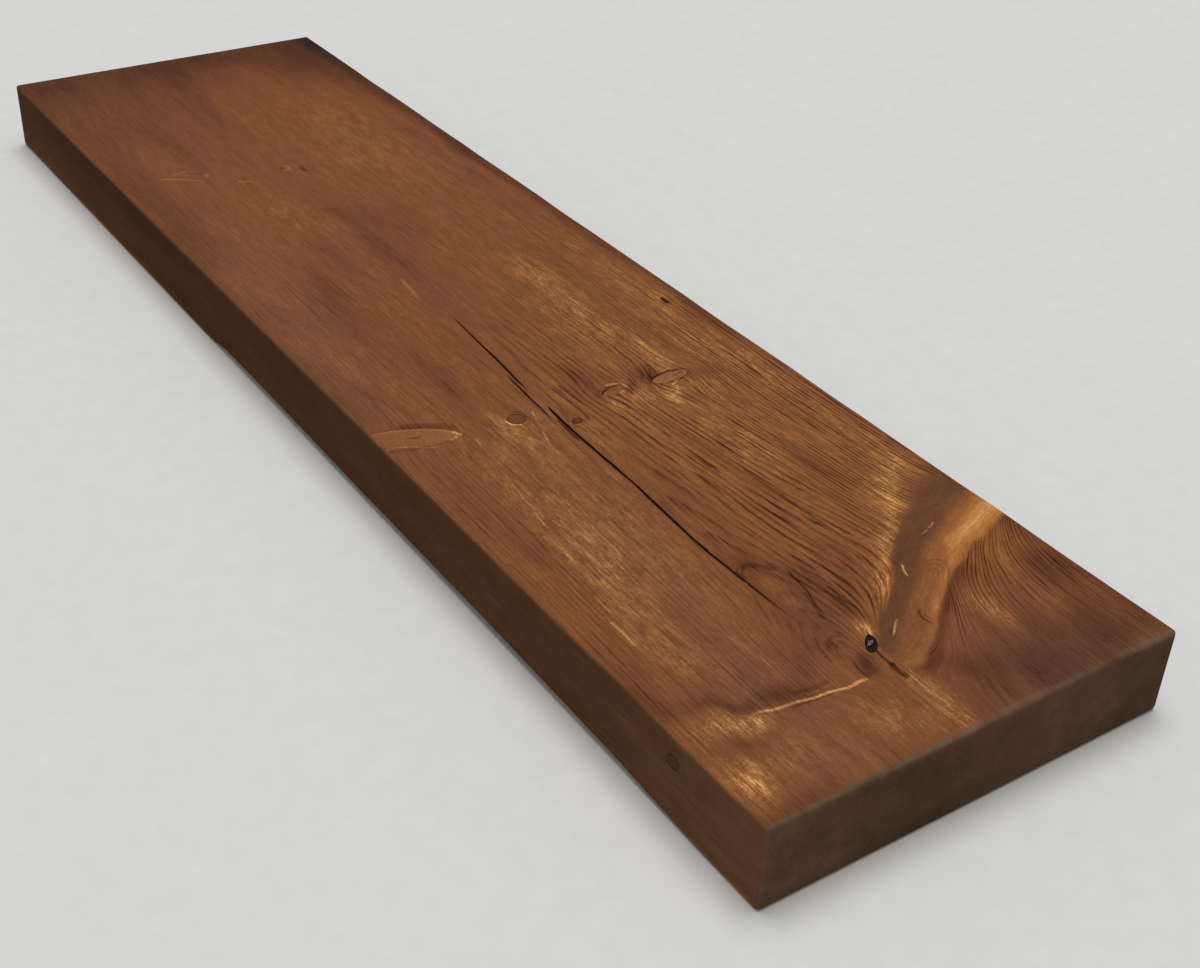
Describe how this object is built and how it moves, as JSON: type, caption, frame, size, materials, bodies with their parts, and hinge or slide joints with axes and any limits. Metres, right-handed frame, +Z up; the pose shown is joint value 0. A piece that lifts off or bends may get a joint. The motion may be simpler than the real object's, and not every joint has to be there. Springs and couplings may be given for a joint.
{
  "type": "floating wall shelf",
  "caption": "Thick dark-stained softwood plank that slides onto steel rods welded to wall plates, held by screws in nylon plugs, with worn edges and a drying check.",
  "frame": {"origin": "on the wall's face, at the middle of the shelf's length and on the level of the rods' axes", "axes": "+X along the shelf to the right as seen from the front, +Y into the wall, +Z up"},
  "size_m": [0.85, 0.2512, 0.044],
  "materials": {
    "stained_softwood": "dark stain under satin wax",
    "plate_steel": "zinc plated, dull",
    "rod_steel": "zinc plated, drawn",
    "fastener_zinc": "bright zinc",
    "plug_nylon": "moulded nylon"
  },
  "bodies": {
    "wall_brackets": {"bracket_plate_left": "plate_steel", "support_rod_left": "rod_steel", "washer_left_a": "fastener_zinc", "wall_screw_left_a": "fastener_zinc", "wall_plug_left_a": "plug_nylon", "washer_left_b": "fastener_zinc", "wall_screw_left_b": "fastener_zinc", "wall_plug_left_b": "plug_nylon", "bracket_plate_centre": "plate_steel", "support_rod_centre": "rod_steel", "washer_centre_a": "fastener_zinc", "wall_screw_centre_a": "fastener_zinc", "wall_plug_centre_a": "plug_nylon", "washer_centre_b": "fastener_zinc", "wall_screw_centre_b": "fastener_zinc", "wall_plug_centre_b": "plug_nylon", "bracket_plate_right": "plate_steel", "support_rod_right": "rod_steel", "washer_right_a": "fastener_zinc", "wall_screw_right_a": "fastener_zinc", "wall_plug_right_a": "plug_nylon", "washer_right_b": "fastener_zinc", "wall_screw_right_b": "fastener_zinc", "wall_plug_right_b": "plug_nylon"},
    "board": {"shelf_board": "stained_softwood"}
  },
  "joints": [
    {"name": "board_slide", "type": "slide", "parent": "wall_brackets", "child": "board", "axis": [0, -1, 0], "range_m": [0, 0.125]}
  ]
}
